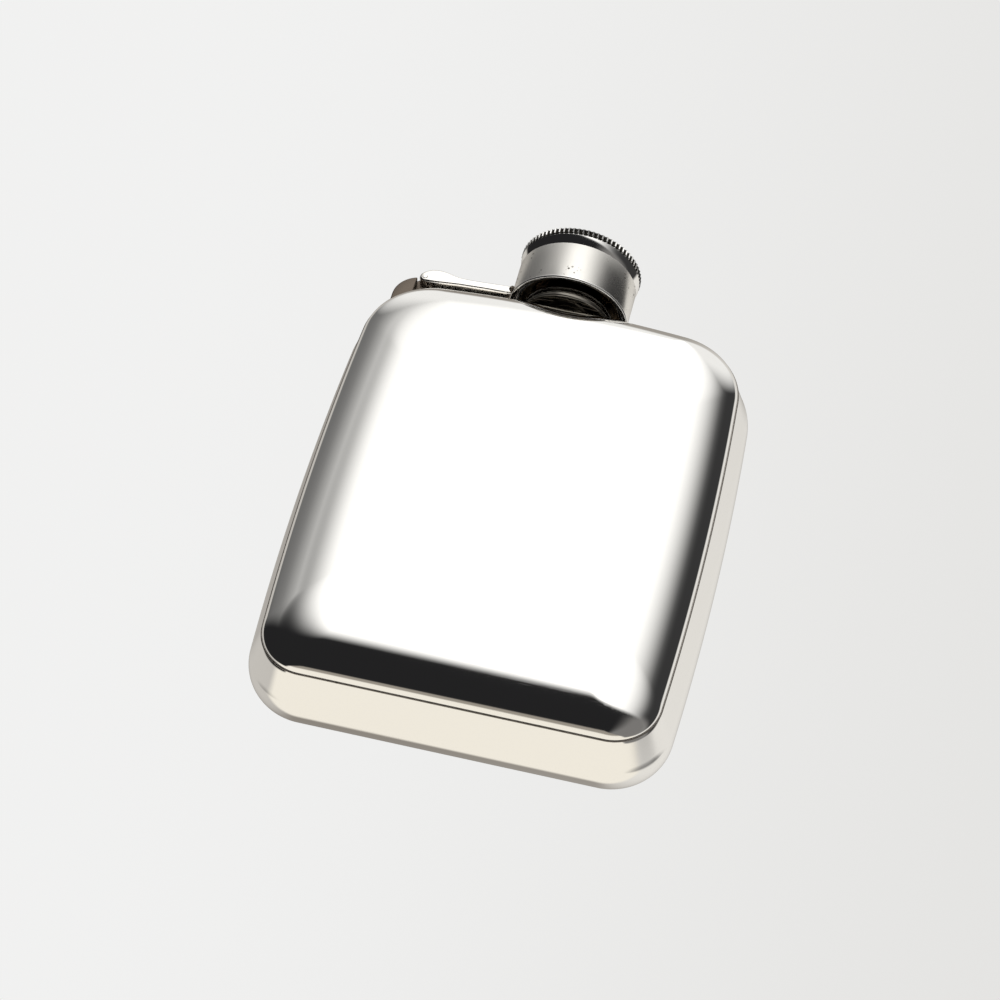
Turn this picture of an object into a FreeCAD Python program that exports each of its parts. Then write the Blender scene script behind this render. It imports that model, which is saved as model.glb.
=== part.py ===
"""Pocket hip flask with a captive quarter-turn cap, in millimetres.

+Z is up, from the flat of the base to the cap. +X is the wearer's side away from the hinge, and -Y is
the side of the domed front panel. The origin is at the base, on the axis of the neck.

The body is two pressed shells, a domed front panel and a deep back shell, soldered along a seam. The
cap is a milled knob that turns in a band. The band hangs on an arm, which is pinned to the shoulder.
"""
import FreeCAD, Part
import math
import os

from FreeCAD import Vector

# body, measured on the outside at its widest
HALF_WIDTH = 45.2
HEIGHT_AT_CORNERS = 111.9
SIDE_ARC_R = 727.0
TOP_ARC_R = 322.0
TOP_CORNER_R = 18.6
BASE_CORNER_R = 13.4
WALL = 0.8

# body, front to back
PANEL_FRONT_Y = -13.6
SEAM_Y = -6.1
BACK_Y = 13.6
SEAM_INSET = 3.2
PANEL_ROLL_R = 5.0
PANEL_DOME_R = 1200.0
SHELL_FRONT_ROLL_R = 2.4
SHELL_BACK_ROLL_R = 8.4
SEAM_BEAD = 0.7

# neck
NECK_R = 7.2
NECK_BORE_R = 6.2
NECK_FOOT_Z = 107.0
NECK_TOP_Z = 121.0
COLLAR_R = 10.6
COLLAR_STEP_R = 9.2
COLLAR_STEP_Z = 113.6
COLLAR_TOP_Z = 114.4
NECK_FILLET = 0.8
LUG_R = 8.8
LUG_Z = (118.4, 119.6)
LUG_HALF_ANGLE = 15.0

# band that holds the knob
BAND_R = 13.5
BAND_BORE_R = 12.15
BAND_RELIEF_R = 12.75
BAND_Z = (113.6, 124.0)
BAND_RELIEF_TOP_Z = 115.9
BEAD_WIRE_R = 0.3
BEAD_GAP_HALF_WIDTH = 5.0

# knob, from the skirt up
SKIRT_LOW_R = 12.6
SKIRT_TOP_R = 13.8
SKIRT_Z = (124.2, 126.6)
CROWN_R = 13.9
CROWN_Z = (126.6, 128.5)
CROWN_RISE = 0.7
CROWN_TEETH = 76
CROWN_TOOTH_DEPTH = 0.4
CROWN_RIM = 0.6
CROWN_BORE_R = 12.5
CUP_R = 11.95
CUP_BORE_R = 11.2
CUP_Z = (114.8, 124.2)
CUP_ROOF = 0.7
RETAINER_R = 12.45
RETAINER_Z = (114.8, 115.6)
RETAINER_GROOVE = 0.35
LATCH_BORE_R = 9.6
TAB_R = 8.0
TAB_Z = (117.0, 118.2)
TAB_HALF_ANGLE = 15.0

# seal stack under the cup's roof, from the neck up
SEAL_R = 9.0
SEAL_BORE_R = 2.9
SEAL_Z = (121.1, 122.5)
SEAL_PLATE_R = 9.4
SEAL_PLATE_Z = (122.5, 123.0)
SPRING_R = (5.0, 8.6)
SPRING_Z = (123.0, 123.5)
RIVET_R = 1.5
RIVET_HEAD_R = 2.6
RIVET_HEAD = 0.7

# hinge on the left shoulder
PIN_X = -33.2
PIN_Z = 113.9
PIN_R = 0.55
PIN_CLEARANCE = 0.05
EYE_R = 1.2
TONGUE_HALF_WIDTH = 1.8
EAR_GAP = 0.15
BRACKET_X = (-39.2, -34.75)
BRACKET_TOP_Z = 113.3
BRACKET_TOE_Z = 107.4
BRACKET_SOLDER = 0.35
BRACKET_SOLDER_MARGIN = 0.5
BRACKET_SOLDER_HEIGHT = 9.0

# hinge arm, whose profile is given as (towards the band, up) from the pin
ARM_HALF_WIDTH = 4.0
ARM_END_HALF_WIDTH = 2.9
ARM_TAPER_START = 6.0
ARM_NOSE = (-0.5, 1.3)
ARM_CREST = (2.9, 2.7)
ARM_FALL = (5.4, 2.35)
ARM_WAIST = (7.8, 1.75)
ARM_HEEL = (2.4, -1.1)
ARM_END_TOP = 3.2
ARM_END_FOOT = 0.9
SOLDER_LUMP_R = 2.3
SOLDER_ROLL_R = 1.9
SOLDER_RISE = 2.0
SOLDER_INSET = 0.1

# how far a cutting shape runs past what it cuts
PAST = 1.0

UP = Vector(0, 0, 1)


def corner_points(grow):
    """The outline's tangent points and arc middles, as (x, z), for the right half, from the base up."""
    low = (HALF_WIDTH - BASE_CORNER_R, BASE_CORNER_R)
    high = (HALF_WIDTH - TOP_CORNER_R, HEIGHT_AT_CORNERS - TOP_CORNER_R)
    side = circle_centre(low, SIDE_ARC_R - BASE_CORNER_R, high, SIDE_ARC_R - TOP_CORNER_R)
    reach = TOP_ARC_R - TOP_CORNER_R
    crest = (0.0, high[1] - math.sqrt(reach ** 2 - high[0] ** 2))

    def on(centre, radius, degrees):
        turn = math.radians(degrees)
        return (centre[0] + radius * math.cos(turn), centre[1] + radius * math.sin(turn))

    def bearing(start, end):
        return math.degrees(math.atan2(end[1] - start[1], end[0] - start[0]))

    low_turn = bearing(side, low)
    high_turn = bearing(side, high)
    crest_turn = bearing(crest, high)
    low_r = BASE_CORNER_R + grow
    high_r = TOP_CORNER_R + grow
    return {
        "base": on(low, low_r, -90),
        "low_mid": on(low, low_r, (low_turn - 90) / 2),
        "low_end": on(low, low_r, low_turn),
        "side_mid": on(side, SIDE_ARC_R + grow, (low_turn + high_turn) / 2),
        "high_start": on(high, high_r, high_turn),
        "high_mid": on(high, high_r, (high_turn + crest_turn) / 2),
        "high_end": on(high, high_r, crest_turn),
        "crest": on(crest, TOP_ARC_R + grow, 90),
    }


def circle_centre(first, first_r, second, second_r):
    """Where two circles cross on the left, which centres an arc that is tangent to both corners."""
    dx = second[0] - first[0]
    dz = second[1] - first[1]
    gap = math.hypot(dx, dz)
    along = (first_r ** 2 - second_r ** 2 + gap ** 2) / (2 * gap)
    across = math.sqrt(first_r ** 2 - along ** 2)
    foot = (first[0] + along * dx / gap, first[1] + along * dz / gap)
    return (foot[0] - across * dz / gap, foot[1] + across * dx / gap)


def outline(grow, y):
    """The body's outline, grown outwards by a distance, as a face in the plane at y."""
    p = {}
    for name, (x, z) in corner_points(grow).items():
        p[name] = Vector(x, y, z)
        p["left_" + name] = Vector(-x, y, z)
    edges = [
        Part.LineSegment(p["left_base"], p["base"]),
        Part.Arc(p["base"], p["low_mid"], p["low_end"]),
        Part.Arc(p["low_end"], p["side_mid"], p["high_start"]),
        Part.Arc(p["high_start"], p["high_mid"], p["high_end"]),
        Part.Arc(p["high_end"], p["crest"], p["left_high_end"]),
        Part.Arc(p["left_high_end"], p["left_high_mid"], p["left_high_start"]),
        Part.Arc(p["left_high_start"], p["left_side_mid"], p["left_low_end"]),
        Part.Arc(p["left_low_end"], p["left_low_mid"], p["left_base"]),
    ]
    return Part.Face(Part.Wire([edge.toShape() for edge in edges]))


def block(grow, y_low, y_high):
    """The outline pushed from y_low to y_high."""
    return outline(grow, y_low).extrude(Vector(0, y_high - y_low, 0))


def edges_at(shape, y):
    """Every edge that lies in the plane at y."""
    found = []
    for edge in shape.Edges:
        box = edge.BoundBox
        if abs(box.YMin - y) < 0.001 and abs(box.YMax - y) < 0.001:
            found.append(edge)
    return found


def front_edges(shape, y_limit):
    """Every edge that lies wholly in front of y_limit."""
    return [edge for edge in shape.Edges if edge.BoundBox.YMax < y_limit]


def disc(radius, z_low, z_high):
    """A plain cylinder on the neck's axis."""
    return Part.makeCylinder(radius, z_high - z_low, Vector(0, 0, z_low))


def ring(outer, inner, z_low, z_high):
    """A cylinder on the neck's axis with a bore."""
    return disc(outer, z_low, z_high).cut(disc(inner, z_low - PAST, z_high + PAST))


def sector(half_angle, bearing, radius, z_low, z_high):
    """A wedge about the neck's axis, used to cut lugs and tabs out of rings."""
    wedge = Part.makeCylinder(radius, z_high - z_low, Vector(0, 0, z_low), UP, 2 * half_angle)
    wedge.rotate(Vector(0, 0, 0), UP, bearing - half_angle)
    return wedge


def opposed(ring_shape, half_angle, bearing, radius, z_low, z_high):
    """Two opposite stretches of a ring, as one group of separate solids."""
    parts = []
    for turn in (bearing, bearing + 180):
        parts += ring_shape.common(sector(half_angle, turn, radius, z_low, z_high)).Solids
    return Part.makeCompound(parts)


def panel_body(inset, wall):
    """The domed front, as a full solid, set in from the seam's outline and back from the front."""
    front = PANEL_FRONT_Y + wall
    solid = block(-inset, front - PAST, SEAM_Y)
    centre = Vector(0, front + PANEL_DOME_R, HEIGHT_AT_CORNERS / 2)
    dome = Part.makeSphere(PANEL_DOME_R, centre)
    solid = solid.common(dome)
    return solid.makeFillet(PANEL_ROLL_R - wall, front_edges(solid, SEAM_Y - PAST))


def neck_hole():
    """The hole that the neck passes through, in the shells and the seam."""
    return disc(NECK_R, NECK_FOOT_Z, HEIGHT_AT_CORNERS + SEAM_INSET)


def front_panel():
    """The domed panel as a pressed shell, open at the back."""
    return panel_body(SEAM_INSET, 0).cut(panel_body(SEAM_INSET + WALL, WALL)).cut(neck_hole())


def shell_body(inset, front, back):
    """The back shell as a full solid, rolled over at both rims."""
    solid = block(-inset, front, back)
    solid = solid.makeFillet(SHELL_FRONT_ROLL_R - inset, edges_at(solid, front))
    return solid.makeFillet(SHELL_BACK_ROLL_R - inset, edges_at(solid, back))


def back_shell():
    """Side wall and back in one pressing, with an inturned flange that the front panel sits on."""
    shell = shell_body(0, SEAM_Y, BACK_Y).cut(shell_body(WALL, SEAM_Y + WALL, BACK_Y - WALL))
    mouth = block(-SEAM_INSET - WALL - SEAM_BEAD, SEAM_Y - PAST, SEAM_Y + WALL + PAST)
    return shell.cut(mouth).cut(neck_hole())


def seam_solder():
    """The solder run in the corner behind the seam."""
    outer = block(-SEAM_INSET - WALL, SEAM_Y - SEAM_BEAD, SEAM_Y)
    inner = block(-SEAM_INSET - WALL - SEAM_BEAD, SEAM_Y - SEAM_BEAD - PAST, SEAM_Y + PAST)
    return outer.cut(inner).cut(neck_hole())


def body_top():
    """The outside of the closed body, which the collar and the bracket are trimmed to."""
    return shell_body(0, SEAM_Y, BACK_Y).fuse(panel_body(SEAM_INSET, 0))


def neck_tube():
    """The plain neck, from inside the body up to the rim that the cork closes on."""
    return ring(NECK_R, NECK_BORE_R, NECK_FOOT_Z, NECK_TOP_Z)


def neck_collar(body):
    """A stepped ring soldered over the neck's foot, trimmed to the top of the body."""
    lower = ring(COLLAR_R, NECK_R, NECK_FOOT_Z, COLLAR_STEP_Z)
    upper = ring(COLLAR_STEP_R, NECK_R, COLLAR_STEP_Z, COLLAR_TOP_Z)
    return lower.fuse(upper).removeSplitter().cut(body)


def neck_solder():
    """A fillet of solder round the neck where it leaves the collar."""
    cone = Part.makeCone(NECK_R + NECK_FILLET, NECK_R, NECK_FILLET, Vector(0, 0, COLLAR_TOP_Z))
    return cone.cut(disc(NECK_R, COLLAR_TOP_Z - PAST, COLLAR_TOP_Z + NECK_FILLET + PAST))


def bayonet_lugs():
    """Two lugs brazed to the neck, at its front and back."""
    return opposed(ring(LUG_R, NECK_R, *LUG_Z), LUG_HALF_ANGLE, 90, LUG_R + PAST, *LUG_Z)


def pin_cylinder(radius, half_length):
    """A cylinder on the hinge's axis."""
    return Part.makeCylinder(radius, 2 * half_length, Vector(PIN_X, -half_length, PIN_Z), Vector(0, 1, 0))


def hinge_bracket(body):
    """A quarter-round block on the shoulder, with a tongue that the arm's two ears straddle."""
    toe_x, face_x = BRACKET_X
    width = face_x - toe_x
    rise = BRACKET_TOP_Z - BRACKET_TOE_Z
    radius = (width ** 2 + rise ** 2) / (2 * width)
    middle_turn = (math.pi + math.atan2(rise, width - radius)) / 2
    toe = Vector(toe_x, -ARM_HALF_WIDTH, BRACKET_TOE_Z)
    middle = toe + Vector(radius * (1 + math.cos(middle_turn)), 0, radius * math.sin(middle_turn))
    top = toe + Vector(width, 0, rise)
    face_foot = top - Vector(0, 0, 2 * rise)
    toe_foot = toe - Vector(0, 0, rise)
    edges = [
        Part.LineSegment(toe_foot, toe),
        Part.Arc(toe, middle, top),
        Part.LineSegment(top, face_foot),
        Part.LineSegment(face_foot, toe_foot),
    ]
    face = Part.Face(Part.Wire([edge.toShape() for edge in edges]))
    main = face.extrude(Vector(0, 2 * ARM_HALF_WIDTH, 0))
    tongue = Part.makeBox(
        PIN_X - toe_x - width / 2, 2 * TONGUE_HALF_WIDTH, rise,
        Vector(toe_x + width / 2, -TONGUE_HALF_WIDTH, BRACKET_TOP_Z - rise),
    )
    knuckle = pin_cylinder(EYE_R, TONGUE_HALF_WIDTH)
    bracket = main.fuse(tongue).fuse(knuckle).removeSplitter()
    return bracket.cut(body).cut(pin_cylinder(PIN_R + PIN_CLEARANCE, ARM_HALF_WIDTH))


def bracket_solder(body):
    """The solder that wets the shoulder round the bracket's foot."""
    toe_x, face_x = BRACKET_X
    margin = BRACKET_SOLDER_MARGIN
    low = BRACKET_TOP_Z - BRACKET_SOLDER_HEIGHT - margin
    pad = Part.makeBox(
        face_x - toe_x + margin, 2 * (ARM_HALF_WIDTH + margin), BRACKET_SOLDER_HEIGHT,
        Vector(toe_x - margin, -ARM_HALF_WIDTH - margin, low),
    )
    skin = shell_body(-BRACKET_SOLDER, SEAM_Y - BRACKET_SOLDER, BACK_Y + BRACKET_SOLDER)
    bracket_space = Part.makeBox(
        face_x - toe_x, 2 * ARM_HALF_WIDTH, BRACKET_SOLDER_HEIGHT + 2 * PAST,
        Vector(toe_x, -ARM_HALF_WIDTH, low - PAST),
    )
    return pad.common(skin).cut(body).cut(bracket_space)


def hinge_arm():
    """A strap with a thick rounded nose at the hinge, narrowing to the band that it is soldered to."""
    def at(along, up):
        return Vector(PIN_X + along, -ARM_HALF_WIDTH, PIN_Z + up)

    slant = EYE_R * math.sqrt(0.5)
    band_end = -BAND_BORE_R - PIN_X
    edges = [
        Part.Arc(at(-EYE_R, 0), at(*ARM_NOSE), at(*ARM_CREST)),
        Part.Arc(at(*ARM_CREST), at(*ARM_FALL), at(*ARM_WAIST)),
        Part.LineSegment(at(*ARM_WAIST), at(band_end, ARM_END_TOP)),
        Part.LineSegment(at(band_end, ARM_END_TOP), at(band_end, ARM_END_FOOT)),
        Part.LineSegment(at(band_end, ARM_END_FOOT), at(*ARM_HEEL)),
        Part.LineSegment(at(*ARM_HEEL), at(0, -EYE_R)),
        Part.Arc(at(0, -EYE_R), at(-slant, -slant), at(-EYE_R, 0)),
    ]
    face = Part.Face(Part.Wire([edge.toShape() for edge in edges]))
    arm = face.extrude(Vector(0, 2 * ARM_HALF_WIDTH, 0))
    below = PIN_Z - 2 * EYE_R
    height = ARM_END_TOP + 4 * EYE_R
    for side in (-1, 1):
        start = Vector(PIN_X + ARM_TAPER_START, side * ARM_HALF_WIDTH, below)
        taper = Part.makePolygon([
            start,
            Vector(-BAND_BORE_R, side * ARM_HALF_WIDTH, below),
            Vector(-BAND_BORE_R, side * ARM_END_HALF_WIDTH, below),
            start,
        ])
        arm = arm.cut(Part.Face(taper).extrude(Vector(0, 0, height)))
    slot_reach = EYE_R + 2 * EAR_GAP
    slot = Part.makeBox(
        2 * slot_reach, 2 * (TONGUE_HALF_WIDTH + EAR_GAP), height,
        Vector(PIN_X - slot_reach, -TONGUE_HALF_WIDTH - EAR_GAP, below),
    )
    return arm.cut(slot).cut(disc(BAND_R, *BAND_Z)).cut(pin_cylinder(PIN_R, ARM_HALF_WIDTH))


def hinge_pin():
    """A rivet-like pin, tight in the arm's ears and free in the bracket's tongue."""
    return pin_cylinder(PIN_R, ARM_HALF_WIDTH)


def arm_solder():
    """The lump of solder where the arm meets the band, above and below the strap."""
    centre = Vector(-BAND_R - SOLDER_INSET, 0, PIN_Z + SOLDER_RISE)
    roll = Part.makeCylinder(
        SOLDER_ROLL_R, 2 * ARM_END_HALF_WIDTH, centre - Vector(0, ARM_END_HALF_WIDTH, 0), Vector(0, 1, 0)
    )
    lump = Part.makeSphere(SOLDER_LUMP_R, centre).fuse(roll)
    below = Part.makeBox(
        4 * SOLDER_LUMP_R, 4 * SOLDER_LUMP_R, SOLDER_LUMP_R,
        Vector(-BAND_R - 2 * SOLDER_LUMP_R, -2 * SOLDER_LUMP_R, BAND_Z[0] + EAR_GAP - SOLDER_LUMP_R),
    )
    return lump.cut(below).cut(disc(BAND_R, *BAND_Z)).cut(hinge_arm())


def outer_band():
    """The plain band round the cap, relieved inside at its foot for the retaining ring."""
    band = ring(BAND_R, BAND_BORE_R, *BAND_Z)
    return band.cut(disc(BAND_RELIEF_R, BAND_Z[0] - PAST, BAND_RELIEF_TOP_Z))


def band_bead():
    """A fine wire bead round the foot of the band."""
    centre_z = BAND_Z[0] + BEAD_WIRE_R
    wire = Part.makeTorus(BAND_R, BEAD_WIRE_R, Vector(0, 0, centre_z))
    gap = Part.makeBox(
        BAND_R, 2 * BEAD_GAP_HALF_WIDTH, 2 * PAST,
        Vector(-2 * BAND_R + PAST, -BEAD_GAP_HALF_WIDTH, centre_z - PAST),
    )
    return wire.cut(disc(BAND_R, centre_z - PAST, centre_z + PAST)).cut(gap)


def knob_skirt():
    """The plain skirt below the milled edge, narrowing towards the band."""
    low, high = SKIRT_Z
    cone = Part.makeCone(SKIRT_LOW_R, SKIRT_TOP_R, high - low, Vector(0, 0, low))
    hollow = disc(SKIRT_LOW_R - WALL, low + CUP_ROOF, high + PAST)
    return cone.cut(hollow).cut(disc(RIVET_R, low - PAST, high))


def milled_crown():
    """The top disc of the knob, with a milled edge and a low crown."""
    low, high = CROWN_Z
    points = []
    for tooth in range(CROWN_TEETH):
        for half, radius in ((0, CROWN_R), (0.5, CROWN_R - CROWN_TOOTH_DEPTH)):
            turn = 2 * math.pi * (tooth + half) / CROWN_TEETH
            points.append(Vector(radius * math.cos(turn), radius * math.sin(turn), low))
    points.append(points[0])
    edge = Part.Face(Part.makePolygon(points)).extrude(Vector(0, 0, high - low))
    rim_r = CROWN_R - CROWN_RIM
    cap_r = (rim_r ** 2 + CROWN_RISE ** 2) / (2 * CROWN_RISE)
    dome = Part.makeSphere(cap_r, Vector(0, 0, high + CROWN_RISE - cap_r)).common(
        disc(rim_r, high, high + CROWN_RISE + PAST))
    hollow = disc(CROWN_BORE_R, low - PAST, high - WALL)
    return edge.fuse(dome).removeSplitter().cut(hollow)


def inner_cup():
    """The cup that turns inside the band and carries the latch and the seal."""
    low, high = CUP_Z
    cup = disc(CUP_R, low, high).cut(disc(CUP_BORE_R, low - PAST, high - CUP_ROOF))
    groove = ring(CUP_R + PAST, CUP_R - RETAINER_GROOVE, *RETAINER_Z)
    return cup.cut(groove).cut(disc(RIVET_R, high - CUP_ROOF - PAST, high + PAST))


def retaining_ring():
    """The ring that is sprung on below the band's shoulder, so that the knob can't pull out."""
    return ring(RETAINER_R, CUP_R - RETAINER_GROOVE, *RETAINER_Z)


def bayonet_ring():
    """A ring inside the cup with two tabs that turn under the neck's lugs."""
    tabs = opposed(ring(CUP_BORE_R, TAB_R, *TAB_Z), TAB_HALF_ANGLE, 0, CUP_BORE_R + PAST, *TAB_Z)
    return ring(CUP_BORE_R, LATCH_BORE_R, *TAB_Z).fuse(tabs).removeSplitter()


def seal_disc():
    """The ring of cork that closes on the neck's rim."""
    return ring(SEAL_R, SEAL_BORE_R, *SEAL_Z)


def seal_plate():
    """The metal plate behind the cork."""
    return ring(SEAL_PLATE_R, RIVET_R, *SEAL_PLATE_Z)


def spring_washer():
    """The flat of the wavy spring washer that keeps the latch tight."""
    return ring(SPRING_R[1], SPRING_R[0], *SPRING_Z)


def centre_rivet():
    """The rivet that holds the seal's plate, the spring, the cup and the skirt together."""
    plate_z = SEAL_PLATE_Z[0]
    floor_z = SKIRT_Z[0] + CUP_ROOF
    head = disc(RIVET_HEAD_R, plate_z - RIVET_HEAD, plate_z)
    shank = disc(RIVET_R, plate_z - RIVET_HEAD, floor_z + RIVET_HEAD)
    upset = disc(RIVET_HEAD_R, floor_z, floor_z + RIVET_HEAD)
    return head.fuse(shank).fuse(upset).removeSplitter()


def build():
    body = body_top()
    return {
        "front_panel": front_panel(),
        "back_shell": back_shell(),
        "seam_solder": seam_solder(),
        "neck_tube": neck_tube(),
        "neck_collar": neck_collar(body),
        "neck_solder": neck_solder(),
        "bayonet_lugs": bayonet_lugs(),
        "hinge_bracket": hinge_bracket(body),
        "bracket_solder": bracket_solder(body),
        "hinge_arm": hinge_arm(),
        "hinge_pin": hinge_pin(),
        "arm_solder": arm_solder(),
        "outer_band": outer_band(),
        "band_bead": band_bead(),
        "knob_skirt": knob_skirt(),
        "milled_crown": milled_crown(),
        "inner_cup": inner_cup(),
        "retaining_ring": retaining_ring(),
        "bayonet_ring": bayonet_ring(),
        "seal_disc": seal_disc(),
        "seal_plate": seal_plate(),
        "spring_washer": spring_washer(),
        "centre_rivet": centre_rivet(),
    }


os.makedirs("parts", exist_ok=True)
for node, shape in build().items():
    shape.exportStep("parts/" + node + ".step")
    box = shape.BoundBox
    print(
        f"{node:16s} solids {len(shape.Solids)} valid {shape.isValid()} volume {shape.Volume:9.2f} "
        f"x {box.XMin:7.2f} {box.XMax:7.2f} y {box.YMin:7.2f} {box.YMax:7.2f} z {box.ZMin:7.2f} {box.ZMax:7.2f}"
    )
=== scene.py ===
from math import atan2, cos, degrees, hypot, pi, radians, sin, sqrt

import bmesh
import bpy
from mathutils import Euler, Matrix, Vector


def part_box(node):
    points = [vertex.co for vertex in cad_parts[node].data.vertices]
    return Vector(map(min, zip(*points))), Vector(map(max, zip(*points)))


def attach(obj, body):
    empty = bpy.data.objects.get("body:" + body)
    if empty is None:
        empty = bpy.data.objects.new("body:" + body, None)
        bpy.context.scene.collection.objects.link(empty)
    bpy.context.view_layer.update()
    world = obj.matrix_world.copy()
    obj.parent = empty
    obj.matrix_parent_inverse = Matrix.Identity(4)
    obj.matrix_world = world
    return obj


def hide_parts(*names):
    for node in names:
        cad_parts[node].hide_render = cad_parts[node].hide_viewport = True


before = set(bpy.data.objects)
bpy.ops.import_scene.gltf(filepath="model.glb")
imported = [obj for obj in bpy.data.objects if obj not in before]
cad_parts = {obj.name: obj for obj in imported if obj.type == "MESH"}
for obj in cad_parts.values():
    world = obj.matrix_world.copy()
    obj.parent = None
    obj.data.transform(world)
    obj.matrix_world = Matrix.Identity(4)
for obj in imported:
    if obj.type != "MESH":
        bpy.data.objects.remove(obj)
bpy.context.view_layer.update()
MM = 0.001


# --- Back shell -------------------------------------------------------------------------------------
# The side wall and the back of the flask, deep drawn in one piece from sheet and silver plated. The wall
# narrows forwards to a small flange that the front panel sits on, and its back rim has a full roll.
shell_low, shell_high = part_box("back_shell")
HALF_WIDTH = shell_high.x - 1.0 * MM
CORNER_HEIGHT = shell_high.z - 1.1 * MM
BASE_CORNER = 13.4 * MM
SHOULDER_CORNER = 18.6 * MM
SIDE_BOW = 727 * MM
TOP_BOW = 322 * MM
SEAM_Y = shell_low.y
BACK_Y = shell_high.y
SEAM_INSET = 3.2 * MM
WALL_SLOPE = radians(22.8)
BACK_ROLL = 8.4 * MM
WALL = 0.8 * MM
FLANGE = 1.4 * MM
AROUND = 420


def node_maths(tree):
    """A function that adds a Math node to a tree, fed with numbers or with other nodes' outputs."""
    def maths(kind, *values):
        made = tree.nodes.new("ShaderNodeMath")
        made.operation = kind
        for socket, value in zip(made.inputs, values):
            if isinstance(value, (int, float)):
                socket.default_value = value
            else:
                tree.links.new(value, socket)
        return made.outputs["Value"]

    return maths


def node_step(tree):
    """A function that adds a soft step to a tree: from first to last as its value goes from low to high."""
    def step(value, low, high, first=0.0, last=1.0):
        made = tree.nodes.new("ShaderNodeMapRange")
        made.interpolation_type = "SMOOTHSTEP"
        for socket, number in (("From Min", low), ("From Max", high), ("To Min", first), ("To Max", last)):
            made.inputs[socket].default_value = number
        tree.links.new(value, made.inputs["Value"])
        return made.outputs["Result"]

    return step


def polished_silver(name, colour, roughness, hairlines, pits, stain):
    """Silver plate as a metal, with hairlines, cloudy wiping marks and pits in its roughness and bump."""
    material = bpy.data.materials.new(name)
    material.use_nodes = True
    nodes, links = material.node_tree.nodes, material.node_tree.links
    shader = nodes["Principled BSDF"]
    shader.inputs["Metallic"].default_value = 1.0
    finish = nodes.new("ShaderNodeGroup")
    finish.node_tree = handled_metal
    finish.inputs["Colour"].default_value = (*colour, 1)
    finish.inputs["Stain"].default_value = (*stain, 1)
    finish.inputs["Roughness"].default_value = roughness
    finish.inputs["Hairlines"].default_value = hairlines
    finish.inputs["Pits"].default_value = pits
    where = nodes.new("ShaderNodeTexCoord")
    bump = nodes.new("ShaderNodeBump")
    bump.inputs["Strength"].default_value = 0.35
    bump.inputs["Distance"].default_value = 0.00004
    links.new(where.outputs["Object"], finish.inputs["Place"])
    links.new(finish.outputs["Colour"], shader.inputs["Base Color"])
    links.new(finish.outputs["Roughness"], shader.inputs["Roughness"])
    links.new(finish.outputs["Height"], bump.inputs["Height"])
    links.new(bump.outputs["Normal"], shader.inputs["Normal"])
    return material


def handled_metal_group():
    """Colour, roughness and height of metal that has been wiped and carried for years."""
    tree = bpy.data.node_groups.new("handled_metal", "ShaderNodeTree")
    for socket, kind in (("Place", "NodeSocketVector"), ("Colour", "NodeSocketColor"),
                         ("Stain", "NodeSocketColor"), ("Roughness", "NodeSocketFloat"),
                         ("Hairlines", "NodeSocketFloat"), ("Pits", "NodeSocketFloat")):
        tree.interface.new_socket(name=socket, in_out="INPUT", socket_type=kind)
    for socket, kind in (("Colour", "NodeSocketColor"), ("Roughness", "NodeSocketFloat"),
                         ("Height", "NodeSocketFloat")):
        tree.interface.new_socket(name=socket, in_out="OUTPUT", socket_type=kind)
    nodes, links = tree.nodes, tree.links
    given = nodes.new("NodeGroupInput")
    out = nodes.new("NodeGroupOutput")
    maths, step = node_maths(tree), node_step(tree)

    def noise(vector, scale, detail):
        made = nodes.new("ShaderNodeTexNoise")
        made.inputs["Scale"].default_value = scale
        made.inputs["Detail"].default_value = detail
        links.new(vector, made.inputs["Vector"])
        return made.outputs["Fac"]

    def streaks(turn, along, across):
        made = nodes.new("ShaderNodeMapping")
        made.inputs["Rotation"].default_value = turn
        made.inputs["Scale"].default_value = (along, across, across)
        links.new(given.outputs["Place"], made.inputs["Vector"])
        return step(noise(made.outputs["Vector"], 1.0, 2.0), 0.66, 0.72)

    scratches = maths("MAXIMUM", streaks((0.2, 0.5, 0.9), 60, 9000), streaks((0.1, -0.4, -0.6), 45, 8000))
    patches = step(noise(given.outputs["Place"], 55, 3), 0.45, 0.65)
    scratches = maths("MULTIPLY", maths("MULTIPLY", scratches, patches), given.outputs["Hairlines"])
    wiping = noise(given.outputs["Place"], 38, 4)
    cells = nodes.new("ShaderNodeTexVoronoi")
    cells.inputs["Scale"].default_value = 900
    links.new(given.outputs["Place"], cells.inputs["Vector"])
    specks = step(cells.outputs["Distance"], 0.16, 0.30, 1.0, 0.0)
    clusters = step(noise(given.outputs["Place"], 260, 3), 0.52, 0.66)
    pits = maths("MULTIPLY", maths("MULTIPLY", specks, clusters), given.outputs["Pits"])
    tone = nodes.new("ShaderNodeMix")
    tone.data_type = "RGBA"
    links.new(pits, tone.inputs["Factor"])
    links.new(given.outputs["Colour"], tone.inputs["A"])
    links.new(given.outputs["Stain"], tone.inputs["B"])
    cloud = step(wiping, 0.3, 0.75, 0.8, 1.5)
    rough = maths("MULTIPLY", given.outputs["Roughness"], cloud)
    rough = maths("ADD", rough, maths("MULTIPLY", scratches, 0.10))
    rough = maths("ADD", rough, maths("MULTIPLY", pits, 0.35))
    height = maths("SUBTRACT", 1.0, maths("ADD", maths("MULTIPLY", scratches, 0.25), pits))
    links.new(tone.outputs["Result"], out.inputs["Colour"])
    links.new(rough, out.inputs["Roughness"])
    links.new(height, out.inputs["Height"])
    return tree


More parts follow.
